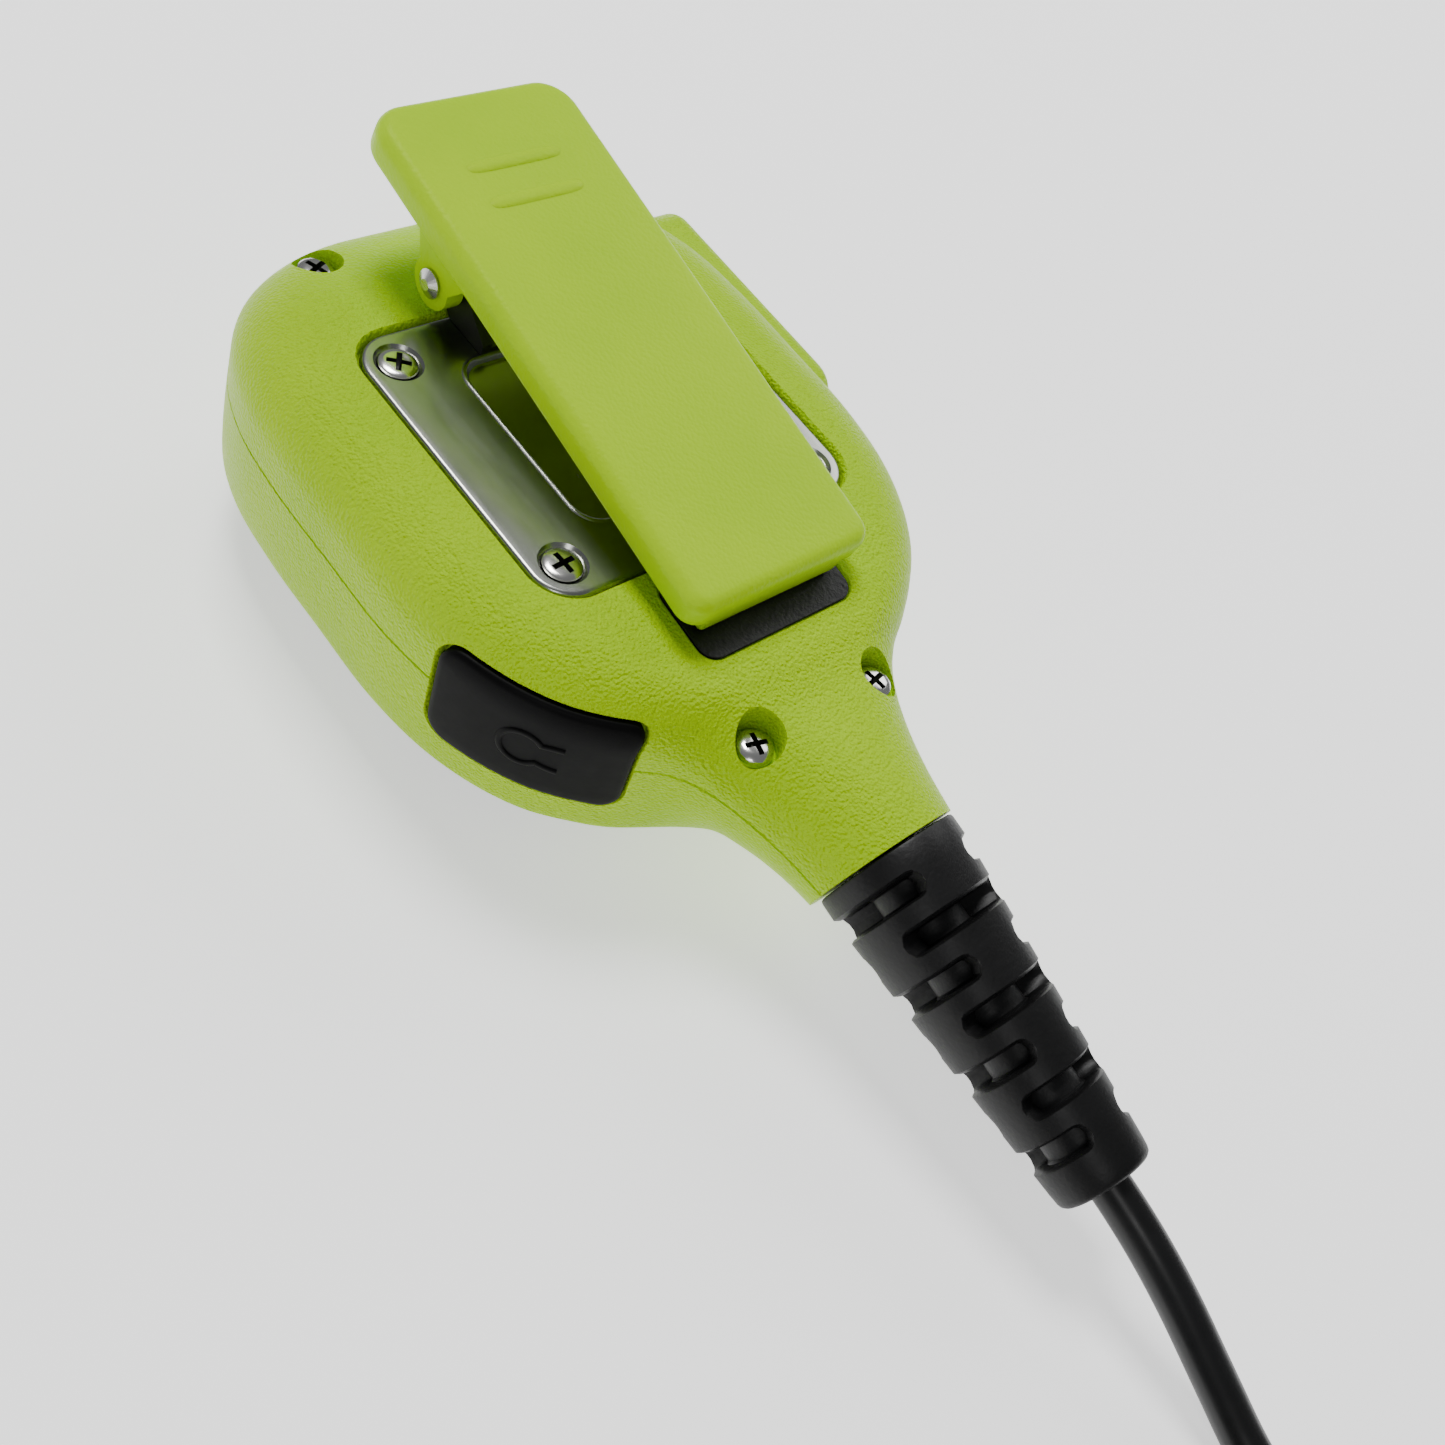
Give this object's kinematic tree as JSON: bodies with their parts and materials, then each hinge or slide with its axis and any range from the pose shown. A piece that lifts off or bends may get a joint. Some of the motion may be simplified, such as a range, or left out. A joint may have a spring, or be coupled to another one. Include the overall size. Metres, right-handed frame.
{
  "type": "remote speaker microphone of a two-way radio",
  "caption": "Palm speaker microphone for a two-way radio: lime housing, pivoting belt clip on a steel plate, slotted cord relief, cord with plug.",
  "frame": {"origin": "centre of the front face that the unit lies on, straight below the clip plate's centre", "axes": "+Z out of the back cover, where the clip is; +Y towards the end away from the cord; +X right as seen from the back with the cord downwards"},
  "size_m": [0.1231, 0.2286, 0.0512],
  "materials": {
    "housing": "fine grain, semi-gloss",
    "clip": "smooth, semi-gloss",
    "plate": "polished with a rolled edge",
    "screws": "bright nickel",
    "pivot": "bright",
    "inner_steel": "plain",
    "rubber": "matt",
    "relief": "matt, moulded",
    "cord": "smooth satin",
    "plug": "matt",
    "plug_pins": "plated",
    "black_plastic": "fine grain",
    "label": "fine weave",
    "board": "satin",
    "tie": "woven",
    "cone": "matt paper",
    "screen": "fine cloth",
    "wires": "satin"
  },
  "bodies": {
    "unit": {"audio_chip": "black_plastic", "clip_bracket": "pivot", "clip_pin": "pivot", "clip_plate": "plate", "clip_spring": "pivot", "cord": "cord", "cord_coil": "cord", "cord_tail": "cord", "cord_tie": "tie", "dust_screen": "screen", "front_housing": "housing", "front_panel": "black_plastic", "housing_screw_1": "screws", "housing_screw_2": "screws", "housing_screw_3": "screws", "housing_screw_4": "screws", "jack_socket": "black_plastic", "label": "label", "mic_boot": "rubber", "mic_capsule": "inner_steel", "mic_wire": "wires", "pcb": "board", "plate_screw_1": "screws", "plate_screw_2": "screws", "plate_screw_3": "screws", "plate_screw_4": "screws", "plug_boot": "plug", "plug_pin_a": "plug_pins", "plug_pin_b": "plug_pins", "plug_shell": "plug", "ptt_switch": "black_plastic", "rear_housing": "housing", "speaker_basket": "inner_steel", "speaker_cone": "cone", "speaker_gasket": "rubber", "speaker_magnet": "inner_steel", "speaker_wire": "wires", "strain_relief": "relief"},
    "clip": {"belt_clip": "clip"},
    "ptt": {"ptt_button": "rubber"},
    "cover": {"jack_cover": "rubber"}
  },
  "joints": [
    {"name": "clip_pivot", "type": "hinge", "parent": "unit", "child": "clip", "pos_m": [0, 0.0208, 0.0394], "axis": [-1, 0, 0], "range_deg": [0, 25], "stiffness_Nm_per_rad": 0.3, "springref_deg": -28.65, "deforming": ["clip_spring"]},
    {"name": "ptt_press", "type": "slide", "parent": "unit", "child": "ptt", "axis": [-1, 0, 0], "range_m": [0, 0.0011], "stiffness_N_per_m": 1500, "springref_m": -0.001},
    {"name": "jack_cover_flap", "type": "hinge", "parent": "unit", "child": "cover", "pos_m": [-0.03398, -0.0164, 0.0216], "axis": [0, 0, -1], "range_deg": [0, 100]}
  ]
}
